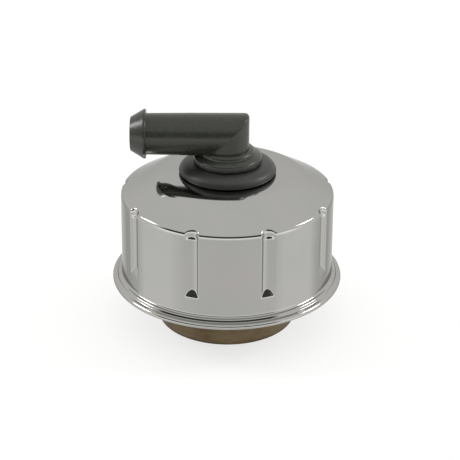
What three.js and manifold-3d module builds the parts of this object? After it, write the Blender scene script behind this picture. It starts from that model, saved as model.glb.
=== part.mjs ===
// Crankcase breather cap with a hose elbow that turns in a rubber grommet.
// Millimetres, +Z up. The cap's axis is Z and the lower edge of its neck is z = 0.
// The hose tube points along -X at rest.
import * as THREE from "three";
import { mergeVertices } from "three/addons/utils/BufferGeometryUtils.js";
import Module from "manifold-3d";

const wasm = await Module();
wasm.setup();

// ---- Driving dimensions ------------------------------------------------------------------

const FIT_GAP = 0.3; // between pieces that rest on, or are pressed into, each other
const HEM_GAP = 0.1; // between the sheets folded together in the rolled lip
const SWIVEL_GAP = 0.15; // radial clearance of the elbow's spigot in the grommet

// Chromed outer shell
const SHELL_SHEET = 0.6;
const WALL_TOP_RADIUS = 38.1;
const WALL_DRAFT = 0.3; // the wall is this much wider at its foot
const WALL_HEIGHT = 31.2; // from the upper ledge to the rim
const RIM_WIDTH = 0.7; // how far the rim's rounding reaches in from the wall
const DOME_RISE = 6.8; // from the rim to the flat middle of the top
const SHOULDER_SLOPE = THREE.MathUtils.degToRad(29); // of the top between its bend and the rim
const SHOULDER_BEND = 12; // radius of the bend between the flat middle of the top and that slope
const FLANGE_WIDTH = 3.4; // from the wall's foot to the edge of the lip
const LIP_FOLD = 1.6; // how far the sheet is folded in under the base pan
const LEDGE_STEP = 1.2; // height of the upper ledge over the lip
const LEDGE_FALL = 0.12; // how far each ledge slopes down outwards
const STEP_RUN = 0.4; // radial reach of the step between the two ledges
const FOOT_FILLET = 0.8; // where the wall meets the upper ledge

// Pressed flutes in the wall
const FLUTE_COUNT = 9;
const FLUTE_WIDTH = 4.9;
const FLUTE_DEPTH = 1.15;
const FLUTE_FOOT = 6.7; // height of the flute's lower end over the upper ledge
const FIRST_FLUTE_ANGLE = THREE.MathUtils.degToRad(-68.2);

// Base pan
const PAN_SHEET = 0.6;
const PAN_SEAT_MARGIN = 1.1; // how far the pan reaches in past the gasket
const PAN_COLLAR = 2.0;

// Neck skirt with its two locking ears
const NECK_HEIGHT = 15.6; // from the skirt's lower edge to the underside of the rolled lip
const NECK_RADIUS = 25.1;
const NECK_SHEET = 1.0;
const NECK_FLANGE = 6.4; // how far the skirt's flange reaches out
const EAR_REACH = 3.4; // inwards from the skirt's inner face
const EAR_ANGLE = THREE.MathUtils.degToRad(42);
const EAR_HEIGHT = 2.2; // underside of the ears over the lower edge
const EAR_SHEET = 1.2;

// Neck gasket
const GASKET_THICKNESS = 2.5;
const GASKET_WIDTH = 5.2;

// Rivets
const RIVET_COUNT = 6;
const RIVET_RADIUS = 1.5;
const RIVET_HEAD_RADIUS = 2.6;
const RIVET_HEAD_HEIGHT = 1.0;
const RIVET_CROWN = 0.6; // share of the head's radius that its flat middle takes

// Splash baffle
const BAFFLE_OVERLAP = 3.5; // how far the disc reaches out past the pan's hole
const BAFFLE_SHEET = 0.8;
const BAFFLE_CLEARANCE = 2.4; // between the pan's collar and the baffle
const BAFFLE_FOOT_WIDTH = 8.0;

// Filter stack
const RING_SHEET = 0.6;
const RING_FLANGE = 4.0;
const RING_HEIGHT = 3.4;
const SCREEN_SHEET = 0.8;
const SCREEN_HOLE_RADIUS = 3.0;
const PAD_THICKNESS = 15.5;
const FLUTE_CLEARANCE = 0.4; // between the filter stack and the inner side of the flutes

// Rubber grommet
const GROMMET_MARGIN = 5.15; // how far its upper flange reaches out past the elbow's collar
const GROMMET_HEIGHT = 3.7; // over the top of the dome
const GROMMET_EDGE = 0.7; // height of its outer edge
const GROMMET_WALL = 4.35; // between the spigot's bore and the edge of the shell's hole
const GROMMET_LIP = 3.0; // how far its lower flange reaches out under the shell
const GROMMET_LOWER_DEPTH = 4.0;

// Elbow
const BORE_RADIUS = 4.7;
const SPIGOT_WALL = 1.8;
const BEAD_HEIGHT = 2.6; // retaining bead below the grommet
const BEAD_REACH = 0.9;
const BEAD_LAND = 0.65; // height of the bead's widest stretch
const COLLAR_LEDGE = 2.45; // how far the collar reaches out past the bead on top of it
const COLLAR_EDGE = 1.6;
const COLLAR_ROUNDING = 0.7;
const STEP_REACH = 2.1; // how far the bead at the riser's foot stands out
const STEP_HEIGHT = 3.9; // from the collar's underside to the foot of that bead
const STEP_BEAD = 2.0;
const RISER_WALL = 2.9;
const TUBE_CLEARANCE = 2.3; // from the collar's underside to the tube's
const TUBE_DRAFT = 0.3; // the tube is this much slimmer behind its barb
const TUBE_LENGTH = 34.2; // from the cap's axis to the tip
const BARB_REACH = 1.44; // how far the barb stands out from the tube
const BARB_TIP_WALL = 1.26;
const BARB_TAPER = 4.7;
const BARB_LAND = 0.7;

// Facets round a full turn
const SHELL_FACETS = 54;
const INNER_FACETS = 36;
const ELBOW_FACETS = 32;
const FLUTE_FACETS = 14;
const SMALL_FACETS = 12;
const HOLE_FACETS = 6;

// Steps along a curve of an outline
const LIP_STEPS = 6;
const BEND_STEPS = 3;
const SHOULDER_STEPS = 4;
const EAR_STEPS = 8;

const OVERRUN = 1; // how far a cutting tool reaches past the faces that it cuts
const MERGE_DISTANCE = 1e-4; // points of a mesh nearer than this are one

// ---- Heights and radii worked out from them -----------------------------------------------

const lipTop = NECK_HEIGHT + 2 * SHELL_SHEET + 2 * HEM_GAP + PAN_SHEET;
const ledgeTop = lipTop + LEDGE_STEP;
const rimHeight = ledgeTop + WALL_HEIGHT;
const crownHeight = rimHeight + DOME_RISE;
const wallFootRadius = WALL_TOP_RADIUS + WALL_DRAFT;
const panTop = NECK_HEIGHT + SHELL_SHEET + HEM_GAP + PAN_SHEET;
const panUnderside = panTop - PAN_SHEET;
const neckFlangeTop = panUnderside - FIT_GAP;
const lipRadius = wallFootRadius + FLANGE_WIDTH;
const neckInnerRadius = NECK_RADIUS - NECK_SHEET;
const rivetCircle = NECK_RADIUS + NECK_FLANGE / 2;
const gasketOuterRadius = neckInnerRadius - FIT_GAP;
const gasketInnerRadius = gasketOuterRadius - GASKET_WIDTH;
const panHoleRadius = gasketInnerRadius - PAN_SEAT_MARGIN;
const baffleRadius = panHoleRadius + BAFFLE_OVERLAP;

const spigotRadius = BORE_RADIUS + SPIGOT_WALL;
const riserRadius = BORE_RADIUS + RISER_WALL;
const stepRadius = riserRadius + STEP_REACH;
const collarRadius = stepRadius + COLLAR_LEDGE;
const grommetBore = spigotRadius + SWIVEL_GAP;
const grommetHoleRadius = grommetBore + GROMMET_WALL;
const grommetLowerRadius = grommetHoleRadius + GROMMET_LIP;
const grommetRadius = collarRadius + GROMMET_MARGIN;
const collarUnderside = crownHeight + FIT_GAP + GROMMET_HEIGHT + FIT_GAP;
const tubeAxis = collarUnderside + TUBE_CLEARANCE + riserRadius;

// The flute is a groove of round section: the radius of that circle, and its distance from the axis.
const fluteRadius = FLUTE_WIDTH ** 2 / (8 * FLUTE_DEPTH) + FLUTE_DEPTH / 2;
const fluteCentreTop = WALL_TOP_RADIUS - FLUTE_DEPTH + fluteRadius;
const filterRadius = WALL_TOP_RADIUS - FLUTE_DEPTH - SHELL_SHEET - FLUTE_CLEARANCE;

// The top is a flat disc, a bend, and a straight slope down to the rim.
const domeEdge = WALL_TOP_RADIUS - RIM_WIDTH;
const steepness = Math.tan(SHOULDER_SLOPE);
const bendLoss = SHOULDER_BEND * (1 / Math.cos(SHOULDER_SLOPE) - 1);
const flatRadius = domeEdge - (DOME_RISE + bendLoss) / steepness;
const bendEnd = flatRadius + SHOULDER_BEND * Math.sin(SHOULDER_SLOPE);

// Height of the top's outer face at a distance from the axis.
function domeHeight(radius) {
  if (radius > bendEnd) return rimHeight + (domeEdge - radius) * steepness;
  const past = Math.max(radius - flatRadius, 0);
  return crownHeight - SHOULDER_BEND + Math.sqrt(SHOULDER_BEND ** 2 - past ** 2);
}

// ---- Materials ------------------------------------------------------------------------------

const chrome = { color: 0xb4b4b0, roughness: 0.08, metalness: 1.0 };
const zincSteel = { color: 0x9a9c9e, roughness: 0.4, metalness: 0.9 };
const yellowZinc = { color: 0x8a744c, roughness: 0.38, metalness: 0.85 };
const blackRubber = { color: 0x34373a, roughness: 0.55, metalness: 0.0 };
const darkNylon = { color: 0x3a3d38, roughness: 0.42, metalness: 0.0 };
const wireKnit = { color: 0x8f8d86, roughness: 0.5, metalness: 0.8 };

const cap = new THREE.Group();

function addPart(name, geometry, material) {
  const mesh = new THREE.Mesh(geometry, new THREE.MeshStandardMaterial(material));
  mesh.name = name;
  cap.add(mesh);
}

// ---- Helpers for shapes -----------------------------------------------------------------------

const point = (radius, height) => new THREE.Vector2(radius, height);

// Points along an arc about a centre, between two angles measured from the outward direction.
function arc(centre, radius, from, to, steps) {
  return Array.from({ length: steps + 1 }, (_, i) => {
    const angle = from + ((to - from) * i) / steps;
    return point(centre.x + radius * Math.cos(angle), centre.y + radius * Math.sin(angle));
  });
}

// A closed outline turned about Z. An outline that starts and ends on the axis makes a full solid.
function turned(outline, facets) {
  const rising = THREE.ShapeUtils.isClockWise(outline) ? [...outline].reverse() : outline;
  const closed = rising[0].x > 0 ? [...rising, rising[0].clone()] : rising;
  return new THREE.LatheGeometry(closed, facets).rotateX(Math.PI / 2);
}

// A line moved sideways, to its left for a positive distance, with its corners kept sharp.
function moved(line, distance) {
  return line.map((at, i) => {
    const before = line[Math.max(i - 1, 0)];
    const after = line[Math.min(i + 1, line.length - 1)];
    const into = i > 0 ? at.clone().sub(before).normalize() : after.clone().sub(at).normalize();
    const out = i < line.length - 1 ? after.clone().sub(at).normalize() : into;
    const side = point(-into.y - out.y, into.x + out.x).normalize();
    const stretch = side.dot(point(-into.y, into.x));
    return at.clone().addScaledVector(side, distance / stretch);
  });
}

// Sheet metal turned about Z: one face follows the line, the other lies to the left of it.
function pressedSheet(line, thickness, facets) {
  return turned([...line, ...moved(line, thickness).reverse()], facets);
}

function solid(geometry) {
  const bare = new THREE.BufferGeometry().setAttribute("position", geometry.getAttribute("position"));
  if (geometry.index) bare.setIndex(geometry.index);
  const merged = mergeVertices(bare, MERGE_DISTANCE);
  const mesh = new wasm.Mesh({
    numProp: 3,
    vertProperties: merged.attributes.position.array,
    triVerts: new Uint32Array(merged.index.array),
  });
  return new wasm.Manifold(mesh);
}

function geometryOf(manifold) {
  const mesh = manifold.getMesh();
  const geometry = new THREE.BufferGeometry();
  geometry.setAttribute("position", new THREE.BufferAttribute(mesh.vertProperties, 3));
  geometry.setIndex(new THREE.BufferAttribute(mesh.triVerts, 1));
  geometry.computeVertexNormals();
  return geometry;
}

function upright(radius, bottom, top, facets) {
  const cylinder = new THREE.CylinderGeometry(radius, radius, top - bottom, facets);
  return cylinder.rotateX(Math.PI / 2).translate(0, 0, (bottom + top) / 2);
}

// The same geometry set down at evenly spaced places round a circle.
function roundCircle(count, firstAngle, radius, make) {
  return Array.from({ length: count }, (_, i) => {
    const angle = firstAngle + (i * 2 * Math.PI) / count;
    return make(i).translate(radius, 0, 0).rotateZ(angle);
  });
}

const cutEach = (body, tools) => tools.reduce((left, tool) => left.subtract(solid(tool)), body);
const addEach = (body, pieces) => pieces.reduce((sum, piece) => sum.add(solid(piece)), body);

// ---- Outer shell: drawn steel with a raised top, fluted wall, stepped flange and rolled lip ------

// The outer face from the grommet's hole, over the rim and down to the folded end of the lip.
function shellLine() {
  const sloping = Math.PI / 2 - SHOULDER_SLOPE;
  const bendCentre = point(flatRadius, crownHeight - SHOULDER_BEND);
  const bend = arc(bendCentre, SHOULDER_BEND, Math.PI / 2, sloping, SHOULDER_STEPS);
  const top = [point(grommetHoleRadius, crownHeight), ...bend];
  const rimArcRadius = RIM_WIDTH / (1 - Math.sin(SHOULDER_SLOPE));
  const rimCentre = point(
    WALL_TOP_RADIUS - rimArcRadius,
    rimHeight - rimArcRadius * Math.cos(SHOULDER_SLOPE),
  );
  const rim = arc(rimCentre, rimArcRadius, sloping, 0, BEND_STEPS);
  const filletCentre = point(wallFootRadius + FOOT_FILLET, ledgeTop + FOOT_FILLET);
  const foot = arc(filletCentre, FOOT_FILLET, Math.PI, 1.5 * Math.PI, BEND_STEPS);
  const middle = (wallFootRadius + lipRadius) / 2;
  const ledges = [point(middle - STEP_RUN, ledgeTop - LEDGE_FALL), point(middle, lipTop + LEDGE_FALL)];
  const lipHalf = (lipTop - NECK_HEIGHT) / 2;
  const lipCentre = point(lipRadius - lipHalf, NECK_HEIGHT + lipHalf);
  const lip = arc(lipCentre, lipHalf, Math.PI / 2, -Math.PI / 2, LIP_STEPS);
  const foldEnd = point(lipCentre.x - LIP_FOLD, NECK_HEIGHT);
  return [...top, ...rim, ...foot, ...ledges, ...lip, foldEnd];
}

// A vertical rod with a ball end, which leans with the wall's draft and reaches through the rim.
function fluteRod(radius) {
  const foot = ledgeTop + FLUTE_FOOT + FLUTE_WIDTH / 2;
  const length = crownHeight - foot;
  const ball = arc(point(0, 0), radius, 0, -Math.PI / 2, BEND_STEPS);
  ball[ball.length - 1].x = 0;
  const outline = [point(0, length), point(radius, length), ...ball];
  const lean = Math.atan(WALL_DRAFT / WALL_HEIGHT);
  const outwards = ((rimHeight - foot) * WALL_DRAFT) / WALL_HEIGHT;
  return turned(outline, FLUTE_FACETS).rotateY(-lean).translate(outwards, 0, foot);
}

function outerShell() {
  const line = shellLine();
  const sheet = solid(pressedSheet(line, -SHELL_SHEET, SHELL_FACETS));
  const outerFace = line.slice(0, line.length - 1);
  const filled = [point(0, crownHeight), ...outerFace, point(0, NECK_HEIGHT)];
  const inside = solid(turned(filled, SHELL_FACETS));
  const rods = (radius) =>
    roundCircle(FLUTE_COUNT, FIRST_FLUTE_ANGLE, fluteCentreTop, () => fluteRod(radius));
  const bulges = rods(fluteRadius + SHELL_SHEET).map((rod) => solid(rod).intersect(inside));
  const bulged = bulges.reduce((sum, bulge) => sum.add(bulge), sheet);
  return geometryOf(cutEach(bulged, rods(fluteRadius)));
}

addPart("outer_shell", outerShell(), chrome);

// ---- Base pan: flat steel with its rim in the rolled lip and an upturned collar in the middle ----

const rivetAngles = Array.from(
  { length: RIVET_COUNT },
  (_, i) => ((i + 0.5) * 2 * Math.PI) / RIVET_COUNT,
);

const rivetHoles = (bottom, top) =>
  rivetAngles.map((angle) =>
    upright(RIVET_RADIUS + FIT_GAP, bottom - OVERRUN, top + OVERRUN, SMALL_FACETS)
      .translate(rivetCircle, 0, 0)
      .rotateZ(angle),
  );

function basePan() {
  const rimRadius = lipRadius - (lipTop - NECK_HEIGHT) / 2;
  const line = [
    point(panHoleRadius, panTop + PAN_COLLAR),
    point(panHoleRadius, panUnderside),
    point(rimRadius, panUnderside),
  ];
  const sheet = solid(pressedSheet(line, PAN_SHEET, SHELL_FACETS));
  return geometryOf(cutEach(sheet, rivetHoles(panUnderside, panTop)));
}

addPart("base_pan", basePan(), zincSteel);

// ---- Neck skirt: drawn steel ring with a flange, and two ears bent inwards at its lower edge -----

function ear(angle) {
  const outer = neckInnerRadius + NECK_SHEET / 2;
  const inner = neckInnerRadius - EAR_REACH;
  const shape = new THREE.Shape();
  shape.absarc(0, 0, outer, angle - EAR_ANGLE / 2, angle + EAR_ANGLE / 2, false);
  shape.absarc(0, 0, inner, angle + EAR_ANGLE / 2, angle - EAR_ANGLE / 2, true);
  shape.closePath();
  const plate = new THREE.ExtrudeGeometry(shape, {
    depth: EAR_SHEET,
    bevelEnabled: false,
    curveSegments: EAR_STEPS,
  });
  return plate.translate(0, 0, EAR_HEIGHT);
}

function neckSkirt() {
  const flangeUnderside = neckFlangeTop - NECK_SHEET;
  const bend = arc(
    point(NECK_RADIUS + NECK_SHEET, flangeUnderside - NECK_SHEET),
    NECK_SHEET,
    Math.PI / 2,
    Math.PI,
    BEND_STEPS,
  );
  const line = [point(NECK_RADIUS + NECK_FLANGE, flangeUnderside), ...bend, point(NECK_RADIUS, 0)];
  const ring = solid(pressedSheet(line, -NECK_SHEET, INNER_FACETS));
  const eared = addEach(ring, [ear(0), ear(Math.PI)]);
  return geometryOf(cutEach(eared, rivetHoles(flangeUnderside, neckFlangeTop)));
}

addPart("neck_skirt", neckSkirt(), yellowZinc);

// ---- Neck gasket: moulded rubber ring in the skirt, against the pan --------------------------------

const gasketTop = panUnderside - FIT_GAP;
const gasketUnderside = gasketTop - GASKET_THICKNESS;

function neckGasket() {
  const outline = [
    point(gasketInnerRadius, gasketUnderside),
    point(gasketOuterRadius, gasketUnderside),
    point(gasketOuterRadius, gasketTop),
    point(gasketInnerRadius, gasketTop),
  ];
  return turned(outline, INNER_FACETS);
}

addPart("neck_gasket", neckGasket(), blackRubber);

// ---- Splash baffle: steel disc on three feet, each foot under a long rivet ---------------------------

const baffleFootTop = panTop + FIT_GAP + BAFFLE_SHEET;

function splashBaffle() {
  const discUnderside = panTop + PAN_COLLAR + BAFFLE_CLEARANCE;
  const disc = solid(upright(baffleRadius, discUnderside, discUnderside + BAFFLE_SHEET, INNER_FACETS));
  const legInner = baffleRadius - 2 * BAFFLE_SHEET;
  const legOuter = baffleRadius;
  const footOuter = rivetCircle + BAFFLE_FOOT_WIDTH / 2;
  const leg = [
    point(legInner, discUnderside),
    point(legOuter, baffleFootTop - BAFFLE_SHEET),
    point(footOuter, baffleFootTop - BAFFLE_SHEET),
  ];
  const strip = [...leg, ...moved(leg, BAFFLE_SHEET).reverse()];
  const long = rivetAngles.filter((_, i) => i % 2 === 0);
  const width = { depth: BAFFLE_FOOT_WIDTH, bevelEnabled: false };
  const legs = long.map((angle) =>
    new THREE.ExtrudeGeometry(new THREE.Shape(strip), width)
      .rotateX(Math.PI / 2)
      .translate(0, BAFFLE_FOOT_WIDTH / 2, 0)
      .rotateZ(angle),
  );
  const body = addEach(disc, legs);
  return geometryOf(cutEach(body, rivetHoles(baffleFootTop - BAFFLE_SHEET, baffleFootTop)));
}

addPart("splash_baffle", splashBaffle(), zincSteel);

// ---- Rivets: a round head under the skirt's flange, a shank, and a second head on top -----------------

function rivet(angle, seat) {
  const under = neckFlangeTop - NECK_SHEET - FIT_GAP;
  const over = seat + FIT_GAP;
  const edge = RIVET_HEAD_HEIGHT / 2;
  const outline = [
    point(0, under - RIVET_HEAD_HEIGHT),
    point(RIVET_HEAD_RADIUS * RIVET_CROWN, under - RIVET_HEAD_HEIGHT),
    point(RIVET_HEAD_RADIUS, under - edge),
    point(RIVET_HEAD_RADIUS, under),
    point(RIVET_RADIUS, under),
    point(RIVET_RADIUS, over),
    point(RIVET_HEAD_RADIUS, over),
    point(RIVET_HEAD_RADIUS, over + edge),
    point(RIVET_HEAD_RADIUS * RIVET_CROWN, over + RIVET_HEAD_HEIGHT),
    point(0, over + RIVET_HEAD_HEIGHT),
  ];
  return turned(outline, SMALL_FACETS).translate(rivetCircle, 0, 0).rotateZ(angle);
}

rivetAngles.forEach((angle, i) => {
  const number = Math.floor(i / 2) + 1;
  if (i % 2 === 0) addPart(`baffle_rivet_${number}`, rivet(angle, baffleFootTop), zincSteel);
  else addPart(`skirt_rivet_${number}`, rivet(angle, panTop), zincSteel);
});

// ---- Filter stack: carrier ring, two perforated screens and the knitted pad between them ---------------

const fluteFoot = ledgeTop + FLUTE_FOOT;
const ringTop = fluteFoot - SHELL_SHEET - FIT_GAP;
const lowerScreenBottom = ringTop + FIT_GAP;
const padBottom = lowerScreenBottom + SCREEN_SHEET + FIT_GAP;
const upperScreenBottom = padBottom + PAD_THICKNESS + FIT_GAP;

function retainerRing() {
  const outer = wallFootRadius - SHELL_SHEET - FIT_GAP - WALL_DRAFT;
  const line = [
    point(outer, ringTop - RING_HEIGHT),
    point(outer, ringTop),
    point(outer - RING_FLANGE, ringTop),
  ];
  return pressedSheet(line, RING_SHEET, SHELL_FACETS);
}

// Holes of a perforated disc: one in the middle and two rings round it.
function screenHoles(bottom, top) {
  const spacing = filterRadius / 3;
  const punch = () => upright(SCREEN_HOLE_RADIUS, bottom - OVERRUN, top + OVERRUN, HOLE_FACETS);
  const holes = (count, radius) => roundCircle(count, 0, radius, punch);
  return [...holes(1, 0), ...holes(6, spacing), ...holes(12, 2 * spacing)];
}

function lowerScreen() {
  const top = lowerScreenBottom + SCREEN_SHEET;
  const disc = solid(upright(filterRadius, lowerScreenBottom, top, INNER_FACETS));
  return geometryOf(cutEach(disc, screenHoles(lowerScreenBottom, top)));
}

function filterPad() {
  return upright(filterRadius, padBottom, padBottom + PAD_THICKNESS, INNER_FACETS);
}

// A cup: its wall stands up from the disc and stops just under the shoulder of the dome.
function upperScreen() {
  const top = upperScreenBottom + SCREEN_SHEET;
  const wallTop = domeHeight(filterRadius) - 2 * SHELL_SHEET - FIT_GAP;
  const outline = [
    point(0, upperScreenBottom),
    point(filterRadius, upperScreenBottom),
    point(filterRadius, wallTop),
    point(filterRadius - SCREEN_SHEET, wallTop),
    point(filterRadius - SCREEN_SHEET, top),
    point(0, top),
  ];
  const cup = solid(turned(outline, INNER_FACETS));
  return geometryOf(cutEach(cup, screenHoles(upperScreenBottom, top)));
}

addPart("retainer_ring", retainerRing(), zincSteel);
addPart("lower_screen", lowerScreen(), zincSteel);
addPart("filter_pad", filterPad(), wireKnit);
addPart("upper_screen", upperScreen(), zincSteel);

// ---- Grommet: moulded rubber with a groove that holds the edge of the shell's hole ---------------------

const grommetUnderside = crownHeight + FIT_GAP;
const grommetTop = grommetUnderside + GROMMET_HEIGHT;
const grommetFoot = domeHeight(grommetLowerRadius) - SHELL_SHEET - FIT_GAP - GROMMET_LOWER_DEPTH;

function grommet() {
  const groove = grommetHoleRadius - FIT_GAP;
  const lowerTop = domeHeight(grommetLowerRadius) - SHELL_SHEET - FIT_GAP;
  const crownStart = point(collarRadius + FIT_GAP, grommetTop);
  const edgeTop = point(grommetRadius, grommetUnderside + GROMMET_EDGE);
  const shoulder = new THREE.QuadraticBezierCurve(
    crownStart,
    point(grommetRadius - GROMMET_EDGE, grommetTop - GROMMET_EDGE),
    edgeTop,
  ).getPoints(SHOULDER_STEPS);
  const outline = [
    point(grommetBore, grommetFoot),
    point(groove, grommetFoot),
    point(grommetLowerRadius, lowerTop - GROMMET_LOWER_DEPTH / 2),
    point(grommetLowerRadius, lowerTop),
    point(groove, lowerTop),
    point(groove, grommetUnderside),
    point(grommetRadius - GROMMET_EDGE / 2, grommetUnderside),
    ...shoulder.reverse(),
    point(grommetBore, grommetTop),
  ];
  return turned(outline, ELBOW_FACETS);
}

addPart("grommet", grommet(), blackRubber);

// ---- Elbow: one hollow moulding of spigot, collar, riser, mitred corner and barbed hose tube ---

function elbow() {
  const beadTop = grommetFoot - FIT_GAP;
  const beadFoot = beadTop - BEAD_HEIGHT;
  const edgeTop = collarUnderside + COLLAR_EDGE;
  const stepFoot = collarUnderside + STEP_HEIGHT;
  const stepBead = new THREE.QuadraticBezierCurve(
    point(stepRadius, stepFoot),
    point(stepRadius, stepFoot + STEP_BEAD),
    point(riserRadius, stepFoot + STEP_BEAD),
  ).getPoints(BEND_STEPS);
  const riserOutline = [
    point(0, beadFoot),
    point(spigotRadius - BEAD_REACH / 2, beadFoot),
    point(spigotRadius + BEAD_REACH, beadTop - BEAD_LAND),
    point(spigotRadius + BEAD_REACH, beadTop),
    point(spigotRadius, beadTop),
    point(spigotRadius, collarUnderside),
    point(collarRadius, collarUnderside),
    point(collarRadius, edgeTop),
    point(collarRadius - COLLAR_ROUNDING, edgeTop + COLLAR_ROUNDING),
    ...stepBead,
    point(riserRadius, tubeAxis),
    point(0, tubeAxis),
  ];
  const behindBarb = riserRadius - TUBE_DRAFT;
  const barbRadius = behindBarb + BARB_REACH;
  const shoulder = TUBE_LENGTH - BARB_TAPER - BARB_LAND;
  const tubeOutline = [
    point(0, TUBE_LENGTH),
    point(BORE_RADIUS + BARB_TIP_WALL, TUBE_LENGTH),
    point(barbRadius, TUBE_LENGTH - BARB_TAPER),
    point(barbRadius, shoulder),
    point(behindBarb, shoulder),
    point(riserRadius, 0),
    point(0, 0),
  ];
  const alongTube = (geometry) => geometry.rotateY(-Math.PI / 2).translate(0, 0, tubeAxis);
  const riser = solid(turned(riserOutline, ELBOW_FACETS));
  const tube = solid(alongTube(turned(tubeOutline, ELBOW_FACETS)));
  // An upright and a level cylinder overlap in the corner, and leave its mitred edge.
  const upper = tubeAxis + riserRadius;
  const lower = tubeAxis - riserRadius;
  const corner = solid(upright(riserRadius, lower, upper, ELBOW_FACETS)).intersect(
    solid(alongTube(upright(riserRadius, -riserRadius, riserRadius, ELBOW_FACETS))),
  );
  const bores = [
    upright(BORE_RADIUS, beadFoot - OVERRUN, tubeAxis, ELBOW_FACETS),
    alongTube(upright(BORE_RADIUS, -BORE_RADIUS, TUBE_LENGTH + OVERRUN, ELBOW_FACETS)),
  ];
  return geometryOf(cutEach(riser.add(tube).add(corner), bores));
}

addPart("elbow", elbow(), darkNylon);

export default cap;
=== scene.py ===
"""A crankcase breather cap: chromed pressed cap, rubber grommet and a hose elbow that swivels."""

import math

import bmesh
import bpy
import numpy as np
from mathutils import Matrix, Vector


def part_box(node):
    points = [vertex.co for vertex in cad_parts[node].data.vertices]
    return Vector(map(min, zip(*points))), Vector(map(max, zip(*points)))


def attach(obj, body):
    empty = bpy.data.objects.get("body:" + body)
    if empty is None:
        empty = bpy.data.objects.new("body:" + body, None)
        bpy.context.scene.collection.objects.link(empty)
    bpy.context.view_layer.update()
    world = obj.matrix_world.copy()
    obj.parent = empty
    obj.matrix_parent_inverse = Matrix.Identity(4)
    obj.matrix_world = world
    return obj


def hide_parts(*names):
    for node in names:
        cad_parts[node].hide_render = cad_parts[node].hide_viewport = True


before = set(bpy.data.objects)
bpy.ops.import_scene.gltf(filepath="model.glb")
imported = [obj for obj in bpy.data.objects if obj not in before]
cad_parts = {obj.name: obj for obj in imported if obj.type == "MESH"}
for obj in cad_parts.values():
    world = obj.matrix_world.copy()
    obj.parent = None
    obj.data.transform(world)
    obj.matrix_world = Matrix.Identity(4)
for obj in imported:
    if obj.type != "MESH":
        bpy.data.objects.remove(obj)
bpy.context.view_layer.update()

MM = 0.001

# ---- Outer shell -------------------------------------------------------------------------------
# One piece of deep-drawn steel, bright chrome plated: a raised top with a hole for the grommet, a
# wall with nine pressed flutes that run out through the rim, a stepped flange, and a lip that is
# rolled under the base pan.

SHELL_SHEET = 0.6 * MM
FLANGE_WIDTH = 3.4 * MM
WALL_DRAFT = 0.3 * MM  # the wall is this much wider at its foot
WALL_HEIGHT = 31.2 * MM
RIM_WIDTH = 0.7 * MM  # how far the rim's rounding reaches in over the top
RIM_DROP = 1.6 * MM  # and how far it reaches down the wall
CROWN_RISE = 6.8 * MM
SHOULDER_SLOPE = math.radians(29)
SHOULDER_BEND = 12.0 * MM
HOLE_RADIUS = 11.0 * MM
LIP_HEIGHT = 2.0 * MM
LIP_FOLD = 1.6 * MM
LEDGE_STEP = 1.2 * MM
LEDGE_FALL = 0.12 * MM
STEP_RUN = 0.4 * MM
STEP_TOP_ROUNDING = 0.5 * MM
STEP_FOOT_ROUNDING = 0.35 * MM
FOOT_FILLET = 0.8 * MM

FLUTE_COUNT = 9
FLUTE_WIDTH = 4.9 * MM
FLUTE_DEPTH = 1.15 * MM
NOTCH_DEPTH = 0.35 * MM
NOTCH_START = 3.2 * MM  # below the rim
NOTCH_LENGTH = 1.4 * MM
FLUTE_FOOT = 6.7 * MM  # over the upper ledge
FOOT_RAMP = math.radians(24)
FLUTE_SOFTNESS = 0.15 * MM  # rounding where a flute meets the wall
FIRST_FLUTE_ANGLE = math.radians(-68.2)
FLUTE_STRIP = 0.7  # half the width with closer columns, in flute widths
FLUTE_COLUMNS = 30
PLAIN_COLUMNS = 12
FLAT_ROWS = 4
BEND_ROWS = 18
SLOPE_ROWS = 8
RIM_ROWS = 12
WALL_ROWS = 20
RAMP_ROWS = 22
NOTCH_ROWS = 16
FOOT_ROWS = 4
LEDGE_BEND_ROWS = 6
LIP_ROWS = 14
MERGE_REACH = 0.0001 * MM
INNER_ROW_STEP = 3  # the inner face takes every third ring

CHROME_TONES = (
    (0.35, (0.452, 0.46, 0.442)),
    (0.5, (0.466, 0.466, 0.452)),
    (0.68, (0.486, 0.47, 0.456)),
)

shell_low, shell_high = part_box("outer_shell")
lip_radius = shell_high.y
lip_bottom = shell_low.z
lip_top = lip_bottom + LIP_HEIGHT
ledge_top = lip_top + LEDGE_STEP
rim_height = ledge_top + WALL_HEIGHT
crown_height = rim_height + CROWN_RISE
foot_radius = lip_radius - FLANGE_WIDTH
rim_radius = foot_radius - WALL_DRAFT
slope_end = rim_radius - RIM_WIDTH
bend_loss = SHOULDER_BEND * (1 / math.cos(SHOULDER_SLOPE) - 1)
flat_radius = slope_end - (CROWN_RISE + bend_loss) / math.tan(SHOULDER_SLOPE)
bend_end = flat_radius + SHOULDER_BEND * math.sin(SHOULDER_SLOPE)
rim_foot = rim_height - RIM_WIDTH * math.tan(SHOULDER_SLOPE) - RIM_DROP
wall_foot = ledge_top + FOOT_FILLET
flute_pitch = 2 * math.pi / FLUTE_COUNT


def arc(centre, radius, start, end, steps):
    """Points (radius, height) on an arc, with its angles measured from the outward direction."""
    angles = np.linspace(start, end, steps + 1)
    return [(centre[0] + radius * math.cos(a), centre[1] + radius * math.sin(a)) for a in angles]


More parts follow.
